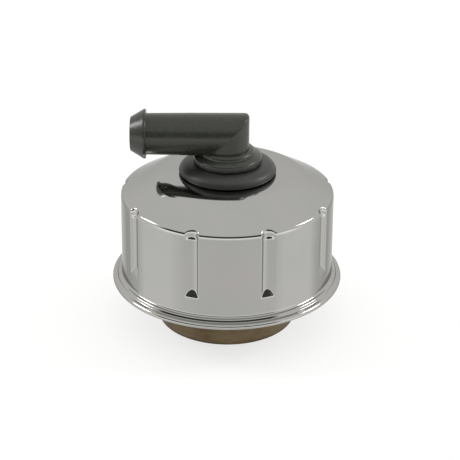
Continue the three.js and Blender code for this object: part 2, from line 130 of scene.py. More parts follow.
def rounded(corners, steps=5, closed=True):
    """An outline whose corners, given as (radius, height, rounding), are rounded by arcs."""
    outline = []
    for i, (x, y, rounding) in enumerate(corners):
        at_end = not closed and i in (0, len(corners) - 1)
        if rounding == 0 or at_end:
            outline.append((x, y))
            continue
        here = Vector((x, y))
        into = (Vector(corners[i - 1][:2]) - here).normalized()
        out = (Vector(corners[(i + 1) % len(corners)][:2]) - here).normalized()
        half = into.angle(out) / 2
        centre = here + (into + out).normalized() * rounding / math.sin(half)
        start = here + into * rounding / math.tan(half) - centre
        turn = -start.angle_signed(here + out * rounding / math.tan(half) - centre)
        for step in range(steps + 1):
            spoke = Matrix.Rotation(turn * step / steps, 2) @ start
            outline.append(tuple(centre + spoke))
    return outline


def curve(start, pull, end, steps):
    """A quadratic curve from start to end, pulled towards a third point. Each point is a group of
    numbers or of arrays."""
    start, pull, end = (np.array(point, float) for point in (start, pull, end))
    shares = np.linspace(0, 1, steps + 1)
    return [(1 - s) ** 2 * start + 2 * s * (1 - s) * pull + s**2 * end for s in shares]


def skin(name, rows, closed=True, sharp=None):
    """A mesh object from rings of points, each ring closed. Closed rows join the last to the first.
    Edges that turn by more than the sharp angle, in degrees, stay crisp."""
    rows = [np.asarray(row, float) for row in rows]
    count = len(rows[0])
    points = np.concatenate(rows)
    faces = []
    for a in range(len(rows) if closed else len(rows) - 1):
        b = (a + 1) % len(rows)
        for c in range(count):
            d = (c + 1) % count
            faces.append((a * count + c, a * count + d, b * count + d, b * count + c))
    mesh = bpy.data.meshes.new(name)
    mesh.from_pydata(points.tolist(), [], faces)
    return finished(name, mesh, sharp)


def finished(name, mesh, sharp=None):
    """An object of that mesh, with doubles merged, faces turned outwards and smooth shading."""
    work = bmesh.new()
    work.from_mesh(mesh)
    bmesh.ops.remove_doubles(work, verts=work.verts, dist=MERGE_REACH)
    bmesh.ops.recalc_face_normals(work, faces=work.faces)
    work.to_mesh(mesh)
    work.free()
    mesh.shade_smooth()
    if sharp is not None:
        mesh.set_sharp_from_angle(angle=math.radians(sharp))
    return placed(name, mesh)


def placed(name, data):
    """A new object in the scene, at the origin."""
    thing = bpy.data.objects.new(name, data)
    bpy.context.scene.collection.objects.link(thing)
    return thing


def top_height(radius):
    """Height of the top's outer face: a flat middle, a bend and a straight slope to the rim."""
    past = np.clip(radius - flat_radius, 0, bend_end - flat_radius)
    bent = SHOULDER_BEND - np.sqrt(SHOULDER_BEND**2 - past**2)
    sloping = np.maximum(radius - bend_end, 0) * math.tan(SHOULDER_SLOPE)
    return crown_height - bent - sloping


def shell_angles():
    """Angles round the shell, closer together on a strip along each flute."""
    half = FLUTE_STRIP * FLUTE_WIDTH / rim_radius
    across = np.linspace(-half, half, FLUTE_COLUMNS, endpoint=False)
    between = np.linspace(half, flute_pitch - half, PLAIN_COLUMNS, endpoint=False)
    one = np.concatenate([across, between])
    starts = [FIRST_FLUTE_ANGLE + i * flute_pitch for i in range(FLUTE_COUNT)]
    return np.concatenate([start + one for start in starts])


def smooth_step(value):
    """A smooth rise from 0 to 1 as the value goes from 0 to 1."""
    share = np.clip(value, 0, 1)
    return share * share * (3 - 2 * share)


def flute_depth(angles, height):
    """How far the wall is pressed in: a groove of round section that runs out below in a flat ramp
    and is pressed a little deeper where it notches the rim."""
    off_centre = (angles - FIRST_FLUTE_ANGLE + flute_pitch / 2) % flute_pitch - flute_pitch / 2
    notch = smooth_step((height - rim_height + NOTCH_START) / NOTCH_LENGTH)
    depth = FLUTE_DEPTH + NOTCH_DEPTH * notch
    radius = FLUTE_WIDTH**2 / (8 * depth) + depth / 2
    across = np.abs(off_centre * rim_radius)
    groove = np.sqrt(np.maximum(radius**2 - across**2, 0)) - (radius - depth)
    groove = groove - np.maximum(across - radius, 0)
    ramp = (height - ledge_top - FLUTE_FOOT) * math.tan(FOOT_RAMP)
    inside = np.minimum(groove, ramp)
    return (inside + np.sqrt(inside**2 + FLUTE_SOFTNESS**2)) / 2


def wall_radius(angles, height):
    """Radius of the wall's outer face, which widens towards its foot."""
    fall = np.clip((rim_foot - height) / (rim_foot - wall_foot), 0, 1)
    return rim_radius + WALL_DRAFT * fall - flute_depth(angles, height)


def top_rings(angles):
    """From the grommet's hole over the flat middle, the bend and the slope, and round the rim. The
    rim follows the flutes, so the slope ends at a different radius there."""
    everywhere = np.ones_like(angles)
    radii = [HOLE_RADIUS + (flat_radius - HOLE_RADIUS) * i / FLAT_ROWS for i in range(FLAT_ROWS)]
    radii += [flat_radius + (bend_end - flat_radius) * i / BEND_ROWS for i in range(BEND_ROWS)]
    rings = [(radius * everywhere, top_height(radius * everywhere)) for radius in radii]
    edge = wall_radius(angles, rim_foot * everywhere) - RIM_WIDTH
    for share in np.linspace(0, 1, SLOPE_ROWS + 1):
        radius = bend_end + (edge - bend_end) * share
        rings.append((radius, top_height(radius)))
    wall = edge + RIM_WIDTH
    corner = top_height(edge) - RIM_WIDTH * math.tan(SHOULDER_SLOPE)
    rim = curve((edge, top_height(edge)), (wall, corner), (wall, corner - RIM_DROP), RIM_ROWS)
    return rings + rim[1:]


def wall_rings(angles, above):
    """Down the wall from the heights where the rim ends. The rings lie closest in the notches at the
    rim and on the ramps at the flutes' feet."""
    ramp_foot = ledge_top + FLUTE_FOOT - 2 * FLUTE_SOFTNESS
    ramp_top = ramp_foot + (FLUTE_DEPTH + 3 * FLUTE_SOFTNESS) / math.tan(FOOT_RAMP)
    notch_foot = rim_height - NOTCH_START - FLUTE_SOFTNESS
    stops = (
        (notch_foot, NOTCH_ROWS),
        (ramp_top, WALL_ROWS),
        (ramp_foot, RAMP_ROWS),
        (wall_foot, FOOT_ROWS),
    )
    rings = []
    for stop, count in stops:
        for share in np.linspace(0, 1, count + 1)[1:]:
            height = above + (stop - above) * share
            rings.append((wall_radius(angles, height), height))
        above = stop * np.ones_like(angles)
    return rings


def flange_outline():
    """The two ledges below the wall, the rolled lip and the fold under it."""
    step = (foot_radius + lip_radius) / 2
    lip_round = LIP_HEIGHT / 2
    lip_centre = (lip_radius - lip_round, lip_bottom + lip_round)
    corners = [
        (foot_radius, wall_foot + FOOT_FILLET, 0),
        (foot_radius, ledge_top, FOOT_FILLET),
        (step - STEP_RUN, ledge_top - LEDGE_FALL, STEP_TOP_ROUNDING),
        (step, lip_top + LEDGE_FALL, STEP_FOOT_ROUNDING),
        (lip_centre[0], lip_top, 0),
    ]
    # The wall already ends where the fillet at its foot starts, and the lip starts at the last corner.
    ledges = rounded(corners, steps=LEDGE_BEND_ROWS, closed=False)[2:-1]
    lip = arc(lip_centre, lip_round, math.pi / 2, -math.pi / 2, LIP_ROWS)
    return ledges + lip + [(lip_centre[0] - LIP_FOLD, lip_bottom)]


def shell_outer_rows():
    """Rings of points down the shell's outer face, from the grommet's hole to the end of the fold."""
    angles = shell_angles()
    everywhere = np.ones_like(angles)
    rings = top_rings(angles)
    rings += wall_rings(angles, rings[-1][1])
    rings += [(radius * everywhere, height * everywhere) for radius, height in flange_outline()]
    return [np.stack([r * np.cos(angles), r * np.sin(angles), z], 1) for r, z in rings]


def inner_rows(outer, thickness, every):
    """Rings on the sheet's other face, under the last outer one and every so many of the others."""
    grid = np.stack(outer)
    along = np.gradient(grid, axis=0)
    around = np.roll(grid, -1, 1) - np.roll(grid, 1, 1)
    normal = np.cross(along, around)
    normal /= np.linalg.norm(normal, axis=2, keepdims=True)
    kept = sorted(set(range(0, len(outer), every)) | {len(outer) - 1}, reverse=True)
    return [grid[i] - normal[i] * thickness for i in kept]


outer = shell_outer_rows()
shell = skin("chrome_shell", outer + inner_rows(outer, SHELL_SHEET, INNER_ROW_STEP))


class Socket:
    """An output of a node. Python's operators on it add Math nodes to the same tree."""

    def __init__(self, tree, output):
        self.tree = tree
        self.output = output

    def __add__(self, other):
        return self.tree.math("ADD", self, other)

    def __radd__(self, other):
        return self.tree.math("ADD", other, self)

    def __sub__(self, other):
        return self.tree.math("SUBTRACT", self, other)

    def __rsub__(self, other):
        return self.tree.math("SUBTRACT", other, self)

    def __mul__(self, other):
        return self.tree.math("MULTIPLY", self, other)

    def __rmul__(self, other):
        return self.tree.math("MULTIPLY", other, self)

    def __truediv__(self, other):
        return self.tree.math("DIVIDE", self, other)

    def __pow__(self, other):
        return self.tree.math("POWER", self, other)


class Tree:
    """A node tree. One method adds any node to it, with its settings and its sockets' values."""

    def __init__(self, nodes):
        self.nodes = nodes

    def node(self, kind, settings=None, inputs=None, output=0):
        made = self.nodes.nodes.new(kind)
        for key, value in (settings or {}).items():
            if key == "stops":
                self.set_stops(made.color_ramp, value)
            else:
                setattr(made, key, value)
        for key, value in (inputs or {}).items():
            self.feed(made.inputs[key], value)
        return Socket(self, made.outputs[output])

    def math(self, operation, *values):
        return self.node("ShaderNodeMath", {"operation": operation}, dict(enumerate(values)))

    def feed(self, socket, value):
        if isinstance(value, Socket):
            self.nodes.links.new(value.output, socket)
        else:
            socket.default_value = value

    def set_stops(self, ramp, stops):
        while len(ramp.elements) < len(stops):
            ramp.elements.new(1.0)
        for element, (position, colour) in zip(ramp.elements, stops):
            element.position = position
            element.color = (*colour, 1.0)


class Finish(Tree):
    """A material with one Principled shader, whose sockets are set by name."""

    def __init__(self, name):
        self.material = bpy.data.materials.new(name)
        self.material.use_nodes = True
        super().__init__(self.material.node_tree)
        self.shader = self.nodes.nodes["Principled BSDF"]
        self.place = self.node("ShaderNodeTexCoord", output="Object")

    def set(self, **values):
        for key, value in values.items():
            self.feed(self.shader.inputs[key.replace("_", " ").title()], value)

    def noise(self, scale, detail=3.0, roughness=0.5, stretch=None, distortion=0.0):
        """Noise from 0 to 1. The scale is in waves per metre, and stretch scales each axis."""
        place = self.place
        if stretch:
            place = self.node("ShaderNodeMapping", inputs={"Vector": place, "Scale": stretch})
        values = {"Vector": place, "Scale": scale, "Detail": detail, "Roughness": roughness}
        return self.node("ShaderNodeTexNoise", inputs={**values, "Distortion": distortion})

    def ramp(self, factor, *stops):
        return self.node("ShaderNodeValToRGB", {"stops": stops}, {"Fac": factor})

    def limit(self, value, low, high, to_low=0.0, to_high=1.0):
        """The value's range from low to high spread over another range, and held there."""
        keys = ("Value", "From Min", "From Max", "To Min", "To Max")
        given = dict(zip(keys, (value, low, high, to_low, to_high)))
        return self.node("ShaderNodeMapRange", inputs=given)

    def spread(self, noise, low, high):
        """Noise spread over another range. Nearly all of it lies between 0.3 and 0.7."""
        return self.limit(noise, 0.3, 0.7, low, high)

    def mix(self, factor, first, second):
        """A mixture of two colours. The Mix node's colour sockets are its inputs 6 and 7."""
        values = {0: factor, 6: opaque(first), 7: opaque(second)}
        return self.node("ShaderNodeMix", {"data_type": "RGBA"}, values, output=2)

    def bump(self, height, depth, before=None):
        """A normal for a relief that is this deep where the height is 1."""
        values = {"Height": height, "Distance": depth, "Strength": 1.0}
        if before is not None:
            values["Normal"] = before
        return self.node("ShaderNodeBump", inputs=values)


def opaque(colour):
    """A colour with its alpha. A linked colour has its own."""
    return colour if isinstance(colour, Socket) else (*colour, 1.0)


def chrome_finish():
    """Bright chrome: nearly even, with faint warm and cool clouds, fine wipe marks and soft waves."""
    chrome = Finish("bright_chrome")
    clouds = chrome.noise(45.0, detail=2.0)
    smears = chrome.noise(160.0, detail=4.0, distortion=1.0)
    wipes = chrome.noise(900.0, detail=2.0, stretch=(1.0, 1.0, 0.12))
    waves = chrome.noise(70.0, detail=1.0)
    relief = chrome.bump(waves, 0.02 * MM)
    chrome.set(
        metallic=1.0,
        specular_tint=(0.7, 0.7, 0.7, 1.0),
        base_color=chrome.ramp(clouds, *CHROME_TONES),
        roughness=chrome.spread(smears * 0.7 + wipes * 0.3, 0.05, 0.11),
        normal=chrome.bump(wipes, 0.0003 * MM, relief),
    )
    return chrome.material


def dress(piece, material, body, slot, *nodes):
    """Gives a new piece its material and its body, and hides the CAD nodes it stands for. The slot is
    not used.
    """
    piece.data.materials.clear()
    piece.data.materials.append(material)
    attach(piece, body)
    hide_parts(*nodes)


dress(shell, chrome_finish(), "cap", "chrome", "outer_shell")


# ---- Base pan ----------------------------------------------------------------------------------
# Flat steel, dull clear zinc plate. Its rim lies in the rolled lip, and its middle is turned up
# into a collar round the hole to the filler neck.

PAN_SHEET = 0.6 * MM
PAN_BEND = 0.9 * MM
PAN_HOLE = 17.5 * MM
CUT_EDGE = 0.4  # rounding of a sheared edge, as a share of the sheet
CRISP_ANGLE = 35  # degrees
TURNED_STEPS = 192

ZINC_TONES = ((0.3, (0.36, 0.37, 0.385)), (0.7, (0.55, 0.555, 0.56)))


def turned(name, outline, steps=TURNED_STEPS, closed=True, sharp=CRISP_ANGLE):
    """A solid turned about the cap's axis from an outline of (radius, height) points."""
    angles = np.linspace(0, 2 * math.pi, steps, endpoint=False)
    circle = np.stack([np.cos(angles), np.sin(angles)], 1)
    rows = [np.column_stack([circle * r, np.full(steps, z)]) for r, z in outline]
    return skin(name, rows, closed, sharp)


def turned_sheet(name, *corners, closed=True):
    """A turned solid whose outline has rounded corners, each given as (radius, height, rounding)."""
    return turned(name, rounded(corners, closed=closed), closed=closed)


def zinc_finish():
    """Dull clear zinc: small crystals of slightly different greys, with a dry, hazy surface."""
    zinc = Finish("clear_zinc")
    crystals = zinc.node(
        "ShaderNodeTexVoronoi",
        inputs={"Vector": zinc.place, "Scale": 700.0},
        output="Color",
    )
    grey = zinc.node("ShaderNodeRGBToBW", inputs={"Color": crystals})
    haze = zinc.noise(220.0, detail=5.0)
    zinc.set(
        metallic=0.9,
        base_color=zinc.ramp(grey * 0.35 + haze * 0.65, *ZINC_TONES),
        roughness=zinc.spread(haze, 0.34, 0.52),
        normal=zinc.bump(haze, 0.012 * MM),
    )
    return zinc.material


pan_low, pan_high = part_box("base_pan")
pan_rim = lip_radius - LIP_HEIGHT / 2
pan_edge = CUT_EDGE * PAN_SHEET
pan = turned_sheet(
    "base_pan_sheet",
    (PAN_HOLE, pan_low.z, PAN_BEND + PAN_SHEET),
    (pan_rim, pan_low.z, pan_edge),
    (pan_rim, pan_low.z + PAN_SHEET, pan_edge),
    (PAN_HOLE + PAN_SHEET, pan_low.z + PAN_SHEET, PAN_BEND),
    (PAN_HOLE + PAN_SHEET, pan_high.z, pan_edge),
    (PAN_HOLE, pan_high.z, pan_edge),
)
zinc = zinc_finish()
dress(pan, zinc, "cap", "zinc_steel", "base_pan")


# ---- Neck skirt --------------------------------------------------------------------------------
# Drawn steel ring that goes over the engine's filler pipe, yellow zinc plated to a streaky brown
# gold. Its flange is riveted to the pan, and two locking ears are bent inwards at its lower edge.

NECK_RADIUS = 25.1 * MM
NECK_SHEET = 1.0 * MM
NECK_BEND = 1.2 * MM
NECK_EDGE = 0.35 * MM
EAR_REACH = 3.4 * MM
EAR_ANGLE = math.radians(42)
EAR_HEIGHT = 2.2 * MM
EAR_SHEET = 1.2 * MM
EAR_STEPS = 24

GOLD_TONES = (
    (0.34, (0.1, 0.069, 0.034)),
    (0.5, (0.145, 0.105, 0.058)),
    (0.68, (0.19, 0.147, 0.09)),
)
# Painted shade: the ring darkens towards its lower edge, where it stands on the floor under the cap.
PAINTED_EDGE_SHADE_TONE = (0.055, 0.042, 0.022)
PAINTED_EDGE_SHADE_TOP = 1.8 * MM
PAINTED_EDGE_SHADE_FULL = 0.6 * MM
PAINTED_EDGE_SHADE_WANDER = 0.8 * MM


def ear_rows(middle):
    """Sections of an ear from one end to the other. Each end closes in a point at its middle."""
    outer = NECK_RADIUS - NECK_SHEET / 2
    inner = NECK_RADIUS - NECK_SHEET - EAR_REACH
    edge = CUT_EDGE * EAR_SHEET
    section = rounded(
        [
            (inner, EAR_HEIGHT, edge),
            (outer, EAR_HEIGHT, 0),
            (outer, EAR_HEIGHT + EAR_SHEET, 0),
            (inner, EAR_HEIGHT + EAR_SHEET, edge),
        ]
    )
    rows = []
    for angle in np.linspace(middle - EAR_ANGLE / 2, middle + EAR_ANGLE / 2, EAR_STEPS):
        rows.append([(r * math.cos(angle), r * math.sin(angle), z) for r, z in section])
    first, last = ([np.mean(row, 0)] * len(section) for row in (rows[0], rows[-1]))
    return [first, *rows, last]


def joined(name, *pieces):
    """One object from several, for solids that are made in one piece."""
    work = bmesh.new()
    for piece in pieces:
        work.from_mesh(piece.data)
        bpy.data.objects.remove(piece)
    return placed(name, taken_off(name, work))


def taken_off(name, work):
    """The mesh that was made in a bmesh, which is then freed."""
    mesh = bpy.data.meshes.new(name)
    work.to_mesh(mesh)
    work.free()
    return mesh


def yellow_zinc_finish():
    """Yellow zinc on drawn steel: brown gold, streaked round the ring, with painted shade that darkens
    its lower edge.
    """
    gold = Finish("yellow_zinc")
    streaks = gold.noise(260.0, detail=4.0, roughness=0.55, stretch=(1.0, 1.0, 6.0))
    patches = gold.noise(80.0, detail=3.0)
    colour = gold.ramp(streaks * 0.6 + patches * 0.4, *GOLD_TONES)
    height = gold.node("ShaderNodeSeparateXYZ", inputs={"Vector": gold.place}, output="Z")
    # Painted shade towards the ring's lower edge, whose top wanders with the patches.
    edge = gold.limit(height + patches * PAINTED_EDGE_SHADE_WANDER, PAINTED_EDGE_SHADE_TOP, PAINTED_EDGE_SHADE_FULL)
    gold.set(
        metallic=0.85,
        base_color=gold.mix(edge * 0.7, colour, PAINTED_EDGE_SHADE_TONE),
        roughness=gold.spread(streaks, 0.36, 0.55),
        normal=gold.bump(streaks, 0.012 * MM),
    )
    return gold.material


neck_low, neck_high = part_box("neck_skirt")
neck_flange = neck_high.y
neck_ring = turned_sheet(
    "neck_ring",
    (NECK_RADIUS, neck_low.z, NECK_EDGE),
    (NECK_RADIUS, neck_high.z - NECK_SHEET, NECK_BEND),
    (neck_flange, neck_high.z - NECK_SHEET, NECK_EDGE),
    (neck_flange, neck_high.z, NECK_EDGE),
    (NECK_RADIUS - NECK_SHEET, neck_high.z, NECK_BEND + NECK_SHEET),
    (NECK_RADIUS - NECK_SHEET, neck_low.z, NECK_EDGE),
)
ears = [skin(f"ear_{i}", ear_rows(i * math.pi), closed=False, sharp=CRISP_ANGLE) for i in range(2)]
skirt = joined("neck_skirt_ring", neck_ring, *ears)
dress(skirt, yellow_zinc_finish(), "cap", "yellow_zinc", "neck_skirt")


# ---- Neck gasket -------------------------------------------------------------------------------
# Flat ring of moulded black rubber, pushed up into the skirt until it lies against the pan. The end
# of the filler pipe presses into it when the cap is locked.

GASKET_WIDTH = 5.2 * MM
GASKET_GAP = 0.3 * MM
GASKET_EDGE = 0.5 * MM

RUBBER_TONES = (
    (0.35, (0.023, 0.025, 0.022)),
    (0.6, (0.032, 0.034, 0.03)),
    (0.8, (0.05, 0.052, 0.047)),
)


def rubber_finish():
    """Moulded black rubber: satin, with a fine dry grain and a grey bloom."""
    rubber = Finish("black_rubber")
    grain = rubber.noise(2600.0, detail=2.0)
    bloom = rubber.noise(110.0, detail=4.0)
    rubber.set(
        base_color=rubber.ramp(bloom, *RUBBER_TONES),
        roughness=rubber.spread(bloom * 0.6 + grain * 0.4, 0.34, 0.5),
        normal=rubber.bump(grain, 0.006 * MM),
    )
    return rubber.material


gasket_low, gasket_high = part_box("neck_gasket")
gasket_outer = NECK_RADIUS - NECK_SHEET - GASKET_GAP
gasket_inner = gasket_outer - GASKET_WIDTH
gasket = turned_sheet(
    "neck_gasket_ring",
    (gasket_inner, gasket_low.z, GASKET_EDGE),
    (gasket_outer, gasket_low.z, GASKET_EDGE),
    (gasket_outer, gasket_high.z, GASKET_EDGE),
    (gasket_inner, gasket_high.z, GASKET_EDGE),
)
rubber = rubber_finish()
dress(gasket, rubber, "cap", "rubber", "neck_gasket")


# ---- Rivets ------------------------------------------------------------------------------------
# Six round-headed steel rivets, clear zinc plated, hold the skirt's flange to the pan. Every other
# one is longer, because it also holds a foot of the splash baffle.

RIVET_COUNT = 6
RIVET_RADIUS = 1.5 * MM
RIVET_HEAD_RADIUS = 2.6 * MM
RIVET_HEAD_HEIGHT = 1.0 * MM
RIVET_STEPS = 24
RIVET_HEAD_STEPS = 6

rivet_circle = (NECK_RADIUS + neck_flange) / 2
rivet_pitch = 2 * math.pi / RIVET_COUNT
first_long_rivet = rivet_pitch / 2


class Pattern(Tree):
    """A geometry tree with an input for each named value, whose result is taken off as a mesh."""

    SOCKETS = {
        float: "NodeSocketFloat",
        int: "NodeSocketInt",
        bpy.types.Object: "NodeSocketObject",
        bpy.types.Material: "NodeSocketMaterial",
    }

    def __init__(self, name, values):
        self.name = name
        self.values = values
        self.group = bpy.data.node_groups.new(name, "GeometryNodeTree")
        super().__init__(self.group)
        face = self.group.interface
        face.new_socket("Geometry", in_out="OUTPUT", socket_type="NodeSocketGeometry")
        for key, value in values.items():
            face.new_socket(key, in_out="INPUT", socket_type=self.SOCKETS[type(value)])
        self.start = self.group.nodes.new("NodeGroupInput")

    def given(self, name):
        """The tree's input of that name."""
        return Socket(self, self.start.outputs[name])

    def vector(self, x=0.0, y=0.0, z=0.0):
        return self.node("ShaderNodeCombineXYZ", inputs={"X": x, "Y": y, "Z": z})

    def join(self, *parts):
        """All those geometries as one."""
        made = self.group.nodes.new("GeometryNodeJoinGeometry")
        for part in parts:
            self.feed(made.inputs["Geometry"], part)
        return Socket(self, made.outputs["Geometry"])

    def mesh(self, geometry):
        """The plain mesh of that geometry, with its instances made real and its material set."""
        real = self.node("GeometryNodeRealizeInstances", inputs={"Geometry": geometry})
        look = {"Geometry": real, "Material": self.given("Material")}
        end = self.group.nodes.new("NodeGroupOutput")
        self.feed(end.inputs["Geometry"], self.node("GeometryNodeSetMaterial", inputs=look))
        carrier = placed(self.name, bpy.data.meshes.new(self.name))
        modifier = carrier.modifiers.new(self.name, "NODES")
        modifier.node_group = self.group
        for item in self.group.interface.items_tree:
            if item.in_out == "INPUT":
                modifier[item.identifier] = self.values[item.name]
        evaluated = carrier.evaluated_get(bpy.context.evaluated_depsgraph_get())
        made = bpy.data.meshes.new_from_object(evaluated)
        bpy.data.objects.remove(carrier)
        return made


def rivet_shape(name, under, over):
    """One rivet on the axis, with the undersides of its two heads at these heights."""
    head = arc((0, 0), 1, 0, math.pi / 2, RIVET_HEAD_STEPS)
    lower = [(RIVET_HEAD_RADIUS * r, under - RIVET_HEAD_HEIGHT * z) for r, z in reversed(head)]
    upper = [(RIVET_HEAD_RADIUS * r, over + RIVET_HEAD_HEIGHT * z) for r, z in head]
    shank = [(RIVET_RADIUS, under), (RIVET_RADIUS, over)]
    return turned(name, lower + shank + upper, steps=RIVET_STEPS, closed=False)


def rivet_mesh(name, rivet, first_angle):
    """That rivet set down at every other place on the rivets' circle."""
    pattern = Pattern(
        name,
        {
            "Rivet": rivet,
            "Count": RIVET_COUNT // 2,
            "Circle Radius": rivet_circle,
            "First Angle": first_angle,
            "Material": zinc,
        },
    )
    places = {"Vertices": pattern.given("Count"), "Radius": pattern.given("Circle Radius")}
    circle = pattern.node("GeometryNodeMeshCircle", inputs=places)
    turn = {"Geometry": circle, "Rotation": pattern.vector(z=pattern.given("First Angle"))}
    turned_circle = pattern.node("GeometryNodeTransform", inputs=turn)
    one = {"Object": pattern.given("Rivet")}
    shape = pattern.node("GeometryNodeObjectInfo", inputs=one, output="Geometry")
    rivets = {"Points": turned_circle, "Instance": shape}
    return pattern.mesh(pattern.node("GeometryNodeInstanceOnPoints", inputs=rivets))


for name, kind, first_angle in (
    ("long_rivets", "baffle_rivet", first_long_rivet),
    ("short_rivets", "skirt_rivet", first_long_rivet + rivet_pitch),
):
    rivet_low, rivet_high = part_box(f"{kind}_1")
    head_seats = (rivet_low.z + RIVET_HEAD_HEIGHT, rivet_high.z - RIVET_HEAD_HEIGHT)
    rivet = rivet_shape(f"one_{kind}", *head_seats)
    rivets = finished(name, rivet_mesh(name, rivet, first_angle), CRISP_ANGLE)
    bpy.data.objects.remove(rivet)
    nodes = (f"{kind}_{number}" for number in range(1, RIVET_COUNT // 2 + 1))
    dress(rivets, zinc, "cap", "zinc_steel", *nodes)


# ---- Splash baffle -----------------------------------------------------------------------------
# Flat steel disc over the hole in the pan, which throws oil back. Three legs bent from the same
# sheet stand on the pan, each under a long rivet.

BAFFLE_SHEET = 0.8 * MM
BAFFLE_OVERLAP = 3.5 * MM
BAFFLE_FOOT_WIDTH = 8.0 * MM
BAFFLE_BEND = 0.5 * MM


def bent_strip(name, outline, width, angle):
    """A strip of sheet with that outline of (radius, height) points, turned to that angle."""
    work = bmesh.new()
    side = work.faces.new([work.verts.new((r, -width / 2, z)) for r, z in outline])
    made = bmesh.ops.extrude_face_region(work, geom=[side])
    far = [item for item in made["geom"] if isinstance(item, bmesh.types.BMVert)]
    bmesh.ops.translate(work, verts=far, vec=(0, width, 0))
    bmesh.ops.rotate(work, verts=work.verts, matrix=Matrix.Rotation(angle, 3, "Z"))
    return finished(name, taken_off(name, work), CRISP_ANGLE)


baffle_low, baffle_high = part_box("splash_baffle")
baffle_radius = PAN_HOLE + BAFFLE_OVERLAP
disc_underside = baffle_high.z - BAFFLE_SHEET
disc_middle = baffle_high.z - BAFFLE_SHEET / 2
disc_edge = CUT_EDGE * BAFFLE_SHEET
foot_end = rivet_circle + BAFFLE_FOOT_WIDTH / 2
disc = turned_sheet(
    "baffle_disc",
    (0, disc_underside, 0),
    (baffle_radius, disc_underside, disc_edge),
    (baffle_radius, baffle_high.z, disc_edge),
    (0, baffle_high.z, 0),
    closed=False,
)
leg_outline = rounded(
    [
        (baffle_radius - 2 * BAFFLE_SHEET, disc_middle, 0),
        (baffle_radius - BAFFLE_SHEET, baffle_low.z, BAFFLE_BEND + BAFFLE_SHEET),
        (foot_end, baffle_low.z, 0),
        (foot_end, baffle_low.z + BAFFLE_SHEET, 0),
        (baffle_radius, baffle_low.z + BAFFLE_SHEET, BAFFLE_BEND),
        (baffle_radius - BAFFLE_SHEET, disc_middle, 0),
    ]
)
legs = []
for i in range(RIVET_COUNT // 2):
    leg_angle = first_long_rivet + 2 * i * rivet_pitch
    legs.append(bent_strip(f"leg_{i}", leg_outline, BAFFLE_FOOT_WIDTH, leg_angle))
dress(joined("baffle_plate", disc, *legs), zinc, "cap", "zinc_steel", "splash_baffle")


# ---- Filter ring and screens -------------------------------------------------------------------
# A steel ring pressed into the shell under the flutes carries the filter. Two discs of perforated
# steel hold it, and the upper one has a wall that stops under the slope of the top.

RING_SHEET = 0.6 * MM
RING_FLANGE = 4.0 * MM
RING_BEND = 0.5 * MM
SCREEN_SHEET = 0.8 * MM
HOLE_PITCH = 4.4 * MM
SCREEN_HOLE_RADIUS = 1.4 * MM
SCREEN_MARGIN = 1.6 * MM
SPARE_ROWS = 3  # so that the shifted rows still cover the disc
HOLE_STEPS = 8
SCREEN_STEPS = 96

ring_low, ring_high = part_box("retainer_ring")
ring_radius = ring_high.y
ring_edge = CUT_EDGE * RING_SHEET
ring = turned_sheet(
    "filter_ring",
    (ring_radius, ring_low.z, ring_edge),
    (ring_radius, ring_high.z, RING_BEND + RING_SHEET),
    (ring_radius - RING_FLANGE, ring_high.z, ring_edge),
    (ring_radius - RING_FLANGE, ring_high.z - RING_SHEET, ring_edge),
    (ring_radius - RING_SHEET, ring_high.z - RING_SHEET, RING_BEND),
    (ring_radius - RING_SHEET, ring_low.z, ring_edge),
)
dress(ring, zinc, "cap", "zinc_steel", "retainer_ring")


def perforated_mesh(name, radius, bottom):
    """A disc with staggered rows of round holes, which keeps a plain margin at its edge."""
    pattern = Pattern(
        name,
        {
            "Disc Radius": radius,
            "Bottom": bottom,
            "Sheet": SCREEN_SHEET,
            "Hole Radius": SCREEN_HOLE_RADIUS,
            "Hole Pitch": HOLE_PITCH,
            "Margin": SCREEN_MARGIN,
            "Rows": 2 * math.ceil(radius / HOLE_PITCH) + SPARE_ROWS,
            "Material": zinc,
        },
    )
    pitch = pattern.given("Hole Pitch")
    count = pattern.given("Rows")
    width = pitch * (count - 1)
    size = {"Size X": width, "Size Y": width * math.sin(math.pi / 3)}
    counts = {"Vertices X": count, "Vertices Y": count}
    grid = pattern.node("GeometryNodeMeshGrid", inputs={**size, **counts})
    row = pattern.math("MODULO", pattern.node("GeometryNodeInputIndex"), count)
    shift = pattern.math("MODULO", row, 2) * pitch / 2
    places = {"Geometry": grid, "Offset": pattern.vector(x=shift)}
    staggered = pattern.node("GeometryNodeSetPosition", inputs=places)
    here = {0: pattern.node("GeometryNodeInputPosition")}
    reach = pattern.node("ShaderNodeVectorMath", {"operation": "LENGTH"}, here, output="Value")
    furthest = pattern.given("Disc Radius") - pattern.given("Margin") - pattern.given("Hole Radius")
    outside = {"Geometry": staggered, "Selection": pattern.math("GREATER_THAN", reach, furthest)}
    centres = pattern.node("GeometryNodeDeleteGeometry", {"domain": "POINT"}, outside)
    circle = "GeometryNodeCurvePrimitiveCircle"
    hole_size = {"Resolution": HOLE_STEPS, "Radius": pattern.given("Hole Radius")}
    one_hole = {"Points": centres, "Instance": pattern.node(circle, inputs=hole_size)}
    copies = pattern.node("GeometryNodeInstanceOnPoints", inputs=one_hole)
    holes = pattern.node("GeometryNodeRealizeInstances", inputs={"Geometry": copies})
    disc_size = {"Resolution": SCREEN_STEPS, "Radius": pattern.given("Disc Radius")}
    outlines = pattern.join(pattern.node(circle, inputs=disc_size), holes)
    flat = pattern.node("GeometryNodeFillCurve", inputs={"Curve": outlines})
    lift = {"Mesh": flat, "Offset Scale": pattern.given("Sheet"), "Individual": False}
    plate = pattern.join(flat, pattern.node("GeometryNodeExtrudeMesh", inputs=lift))
    place = {"Geometry": plate, "Translation": pattern.vector(z=pattern.given("Bottom"))}
    return pattern.mesh(pattern.node("GeometryNodeTransform", inputs=place))


def screen(name, node):
    """A perforated disc in the place of that node, with its lower face at the node's."""
    low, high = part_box(node)
    return finished(name, perforated_mesh(name, high.y, low.z), CRISP_ANGLE)


dress(screen("lower_perforated_disc", "lower_screen"), zinc, "cap", "zinc_steel", "lower_screen")

